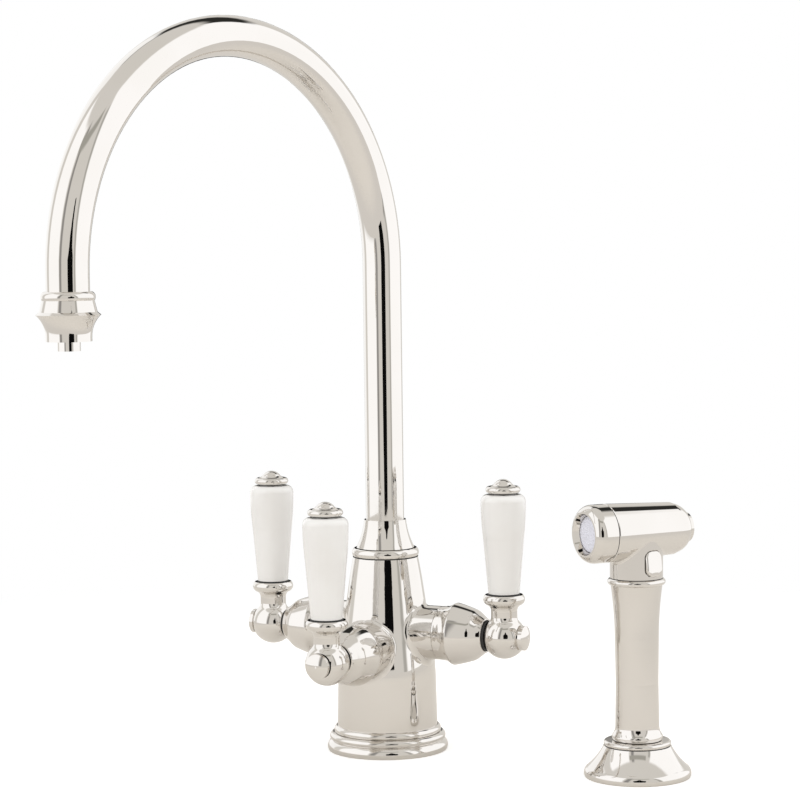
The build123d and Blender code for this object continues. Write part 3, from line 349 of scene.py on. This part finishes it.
def ringed(shape, outline, middle, along, closed=True, segments=TURNED_SEGMENTS):
    """Adds the outline, turned round the axis along through middle."""
    along = along.normalized()
    side = along.orthogonal().normalized()
    other = along.cross(side)
    rings = []
    for radius, distance in outline:
        centre = middle + along * distance
        if radius == 0:
            rings.append([shape.verts.new(centre)] * segments)
            continue
        ring = []
        for step in range(segments):
            angle = 2 * pi * step / segments
            spoke = side * cos(angle) + other * sin(angle)
            ring.append(shape.verts.new(centre + spoke * radius))
        rings.append(ring)
    pairs = list(zip(rings, rings[1:]))
    if closed:
        pairs.append((rings[-1], rings[0]))
    for low, high in pairs:
        for step in range(segments):
            after = (step + 1) % segments
            corners = [low[step], low[after], high[after], high[step]]
            # a ring on the axis is one point, so its faces have three corners
            shape.faces.new([c for i, c in enumerate(corners) if c not in corners[:i]])


def fitted(name, shape, body, slot, edge):
    """Makes the piece from its bmesh, rounds its edges and lets it ride on a body."""
    bmesh.ops.recalc_face_normals(shape, faces=shape.faces)
    bmesh.ops.scale(shape, vec=(MM, MM, MM), verts=shape.verts)
    for face in shape.faces:
        face.smooth = True
    piece = meshed(name, shape)
    piece.data.materials.append(finishes[slot])
    rounded = piece.modifiers.new("rounded", "BEVEL")
    rounded.width = edge * MM
    rounded.segments = BEVEL_SEGMENTS
    rounded.limit_method = "ANGLE"
    rounded.angle_limit = SHARP_EDGE
    rounded.harden_normals = True
    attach(piece, body)
    return piece


def turned_piece(name, outline, middle, along, body, slot, edge, segments=TURNED_SEGMENTS):
    """A fitted piece with a closed outline, turned round the axis along through middle."""
    shape = bmesh.new()
    ringed(shape, outline, middle, along, segments=segments)
    return fitted(name, shape, body, slot, edge)


def swelled(start, end, swell, steps):
    """Points of a slightly bulging line from start to end, both as (radius, distance)."""
    line = [Vector(start).lerp(Vector(end), step / steps) for step in range(steps + 1)]
    square = Vector((end[1] - start[1], start[0] - end[0])).normalized()
    return [
        tuple(point + square * swell * 4 * (step / steps) * (1 - step / steps))
        for step, point in enumerate(line)
    ]


# Valve covers. Black rubber wipers in the covers' mouths paint the shadow in the gap between a
# cover's mouth and the lever's ball. Black rubber washers at both ends of each handle paint the
# dark lines of shade at those seams.
LEVER_REACH = 74.75  # from the mixer's axis to the middle of a lever's ball
HANDLE_TOP = 81.6  # above that middle
ARMS = (
    # name, direction, height above the table
    ("hot", Vector((-1, 0, 0)), 69.8),
    ("cold", Vector((1, 0, 0)), 69.8),
    ("filter", Vector((0, -1, 0)), 61.9),
)
COVER = (
    # rim on the arm
    [(14.0, 35.5), (15.3, 35.5), (15.4, 35.65), (15.47, 36.6)]
    + swelled((15.5, 37.2), (15.75, 40.1), 0.05, 3)
    # flare up to the rounded ridge
    + [(16.0, 41.2), (16.45, 42.4), (17.05, 43.5), (17.55, 44.3), (17.75, 44.75), (17.82, 45.1)]
    # taper, which bends near the mouth
    + swelled((17.75, 45.5), (14.95, 55.6), 0.12, 6)
    + swelled((14.95, 55.6), (13.54, 58.4), 0.155, 6)[1:]
    + [(12.0, 60.4), (10.2, 62.7)]
    # lip of the mouth, then the hollow inside
    + [(10.05, 63.2), (9.8, 63.6), (9.5, 63.75), (9.1, 63.75), (8.9, 63.55)]
    + [(8.9, 60.25), (13.0, 50.0), (14.0, 44.7)]
)
# Painted shade: these dark rubber rings stand where the seams at a cover's mouth and at a
# handle's foot and top fall into shadow.
WIPER_SHADE = ((7.4, 62.2), (8.75, 62.2), (8.75, 64.9), (8.3, 65.2), (8.1, 65.0), (7.4, 64.3))
FOOT_WASHER_SHADE = ((8.2, 24.15), (9.15, 24.2), (9.25, 24.7), (9.05, 25.15), (8.2, 25.2))
TOP_WASHER_SHADE = ((6.0, 0.1), (6.85, 0.1), (6.95, 0.45), (6.85, 0.8), (6.0, 0.8))

for arm, out, arm_height in ARMS:
    middle = Vector((0, 0, arm_height))
    ball = middle + out * LEVER_REACH
    top = ball + sky * HANDLE_TOP
    lever = arm + "_lever"
    cover = turned_piece(arm + "_cover", COVER, middle, out, "root", "polished_nickel", 0.15)
    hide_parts(arm + "_shroud")
    # painted shade: dark rubber rings at the cover's mouth and at both ends of the handle
    turned_piece(arm + "_wiper_shade", WIPER_SHADE, middle, out, "root", "rubber", 0.12)
    turned_piece(arm + "_foot_washer_shade", FOOT_WASHER_SHADE, ball, sky, lever, "rubber", 0.1)
    turned_piece(arm + "_top_washer_shade", TOP_WASHER_SHADE, top, sky, lever, "rubber", 0.08)

# Thin black rubber seals that paint the shaded seams as dark lines: under the bead that the
# spout turns on, in the groove under the holder's bead, and at the hand spray's neck and nozzle
# ring.
SPRAY_FOOT = Vector((159.8, -13.4, 0))
NOZZLE_TURN = radians(36.7)  # of the barrel, from -Y towards -X
BARREL_Z = 135.7
barrel_out = Vector((-sin(NOZZLE_TURN), -cos(NOZZLE_TURN), 0))
barrel_middle = SPRAY_FOOT + sky * BARREL_Z
SEAL_SHADE_EDGE = 0.05
SEAL_SHADE_SEGMENTS = 128
SEAL_SHADES = (
    # name, middle, along, inner radius, outer radius, distance, width, body
    ("seat_gasket_shade", Vector((0, 0, 112.8)), sky, 17.6, 19.0, 0.0, 0.6, "root"),
    ("holder_gasket_shade", SPRAY_FOOT + sky * 17.2, sky, 16.6, 18.1, 0.05, 0.5, "root"),
    ("neck_gasket_shade", SPRAY_FOOT + sky * 109.8, sky, 13.5, 14.62, 0.1, 0.55, "hand_spray"),
    ("nozzle_gasket_shade", barrel_middle, barrel_out, 14.6, 15.72, 20.5, 0.7, "hand_spray"),
)


def seal_shade_outline(inner, outer, distance, width):
    """A flat ring whose outer corners are taken off."""
    half = width / 2
    shoulder = outer - half / 2
    return (
        (inner, distance - half), (shoulder, distance - half), (outer, distance - half / 3),
        (outer, distance + half / 3), (shoulder, distance + half), (inner, distance + half),
    )


# painted shade: each ring is dark rubber placed where a seam shows as a dark line of shadow
for name, middle, along, inner, outer, distance, width, body in SEAL_SHADES:
    outline = seal_shade_outline(inner, outer, distance, width)
    turned_piece(name, outline, middle, along, body, "rubber", SEAL_SHADE_EDGE, SEAL_SHADE_SEGMENTS)

# Spray plate: a softly crowned disc with small raised nozzles, in the ring's mouth.
FACE_FRONT = 30.3  # from the barrel's middle
PLATE_CROWN = 0.45
PLATE_FALL = 0.00495  # how far the plate drops, per square millimetre of reach
PLATE = (
    # radius, distance before FACE_FRONT
    (0, PLATE_CROWN), (2.0, 0.43), (4.0, 0.38), (6.0, 0.28), (8.0, 0.12),
    (9.3, -0.05), (9.85, -0.4), (9.95, -1.0), (9.95, -3.1), (0, -3.1),
)
NOZZLE = ((0.7, -0.15), (0.6, 0.05), (0.45, 0.14), (0.28, 0.16), (0.16, 0.1), (0, 0.08))
NOZZLE_SEGMENTS = 16
NOZZLE_CIRCLES = 4  # the first one is the nozzle in the middle
NOZZLE_PITCH = 2.65  # between two circles

shape = bmesh.new()
plate_outline = [(radius, FACE_FRONT + proud) for radius, proud in PLATE]
ringed(shape, plate_outline, barrel_middle, barrel_out, closed=False)
barrel_side = sky.cross(barrel_out)
for circle in range(NOZZLE_CIRCLES):
    reach = NOZZLE_PITCH * circle
    count = max(1, 6 * circle)
    for step in range(count):
        angle = 2 * pi * step / count
        foot = barrel_middle + (barrel_side * cos(angle) + sky * sin(angle)) * reach
        foot += barrel_out * (FACE_FRONT + PLATE_CROWN - PLATE_FALL * reach ** 2)
        ringed(shape, NOZZLE, foot, barrel_out, closed=False, segments=NOZZLE_SEGMENTS)
plate = fitted("spray_plate", shape, "hand_spray", "spray_face_white", 0.1)
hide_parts("spray_face")

# Spray button: a crowned pad with rounded corners, leaning back a little, on its stem.
BUTTON_TURN = radians(29.1)  # of the way it faces, from +X towards -Y
BUTTON_Z = 119.0
BUTTON_FACE = 16.6
BUTTON_WIDTH = 10.5
BUTTON_HEIGHT = 14.0
BUTTON_CORNER = 3.8
CORNER_STEPS = 12
BUTTON_LEAN = 0.105  # how far the top stands back, per millimetre of height
BUTTON_CROWN = 0.35
BUTTON_SKIRT = 2.0  # what drops further than this is straight
BUTTON_RINGS = (
    # share of the outline, drop behind the face
    (0.98, 3.2), (1.0, 3.0), (1.0, 0.9), (0.99, 0.55), (0.965, 0.28), (0.93, 0.14),
    (0.88, 0.08), (0.75, 0.05), (0.6, 0.03), (0.4, 0.012), (0.2, 0.003),
)
BUTTON_EDGE = 0.05
STEM = (
    (0, 2.0), (4.2, 2.0), (4.4, 2.2), (4.4, 3.4), (4.0, 3.5), (2.0, 3.6), (2.0, 13.6), (0, 13.6),
)
STEM_SEGMENTS = 32

button_out = Vector((cos(BUTTON_TURN), -sin(BUTTON_TURN), 0))
button_side = sky.cross(button_out)
button_middle = SPRAY_FOOT + sky * BUTTON_Z
corner_across = BUTTON_WIDTH / 2 - BUTTON_CORNER
corner_rise = BUTTON_HEIGHT / 2 - BUTTON_CORNER
outline = []
for sign_across, sign_rise, start in ((1, 1, 0), (-1, 1, 90), (-1, -1, 180), (1, -1, 270)):
    for step in range(CORNER_STEPS + 1):
        angle = radians(start + 90 * step / CORNER_STEPS)
        outline.append((
            sign_across * corner_across + BUTTON_CORNER * cos(angle),
            sign_rise * corner_rise + BUTTON_CORNER * sin(angle),
        ))
shape = bmesh.new()
rings = []
for share, drop in BUTTON_RINGS:
    ring = []
    for across, rise in outline:
        depth = BUTTON_FACE - drop
        if drop < BUTTON_SKIRT:
            depth -= BUTTON_LEAN * (rise * share + BUTTON_HEIGHT / 2)
            depth -= BUTTON_CROWN * share ** 2
        place = button_middle + button_side * across * share + sky * rise * share
        ring.append(shape.verts.new(place + button_out * depth))
    rings.append(ring)
for low, high in zip(rings, rings[1:]):
    for step in range(len(outline)):
        after = (step + 1) % len(outline)
        shape.faces.new((low[step], low[after], high[after], high[step]))
shape.faces.new(rings[0])
shape.faces.new(rings[-1])
ringed(shape, STEM, button_middle, button_out, closed=False, segments=STEM_SEGMENTS)
button = fitted("button_pad", shape, "button", "polished_nickel", BUTTON_EDGE)
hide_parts("spray_button")

# ---------------------------------------------------------------- floor
# A round white table top. It is lit as paper near the object and glows evenly further
# out, so its rim can't be told from the white background. The metal sees it darker and
# warmer than the camera does. Metres.
TABLE_RADIUS = 1.2
TABLE_PLACE = Vector((0.03, -0.05, 0))
PAPER_UNTIL = 0.30
GLOW_FROM = 0.75
PAPER_IN_METAL = (0.83, 0.80, 0.755, 1)
GLOW_IN_METAL = (0.785, 0.755, 0.715, 1)
PAPER_LIFT = 0.34  # the paper's own light, for the camera only

shape = bmesh.new()
bmesh.ops.create_circle(shape, cap_ends=True, segments=128, radius=TABLE_RADIUS)
bmesh.ops.translate(shape, vec=TABLE_PLACE, verts=shape.verts)
floor = meshed("floor", shape)
paper, g, place = material("floor_paper")
far = g.node(
    "ShaderNodeVectorMath", {0: place, 1: TABLE_PLACE}, operation="DISTANCE"
).outputs["Value"]
grain = g.mix(g.noise(place, scale=3.0), (0.93, 0.93, 0.925, 1), (0.95, 0.95, 0.945, 1))
seen = g.node("ShaderNodeLightPath").outputs["Is Camera Ray"]
shader = g.node(
    "ShaderNodeBsdfPrincipled",
    {
        "Base Color": g.mix(seen, PAPER_IN_METAL, grain),
        "Roughness": 0.9, "Specular IOR Level": 0.1,
        "Emission Color": grey(1.0), "Emission Strength": g.math("MULTIPLY", seen, PAPER_LIFT),
    },
)
glow = g.node("ShaderNodeEmission", {"Color": g.mix(seen, GLOW_IN_METAL, grey(1.0))})
fade = g.ramp(far, low=PAPER_UNTIL, high=GLOW_FROM)
g.output(g.node("ShaderNodeMixShader", {0: fade, 1: shader.outputs[0], 2: glow.outputs[0]}))
floor.data.materials.append(paper)
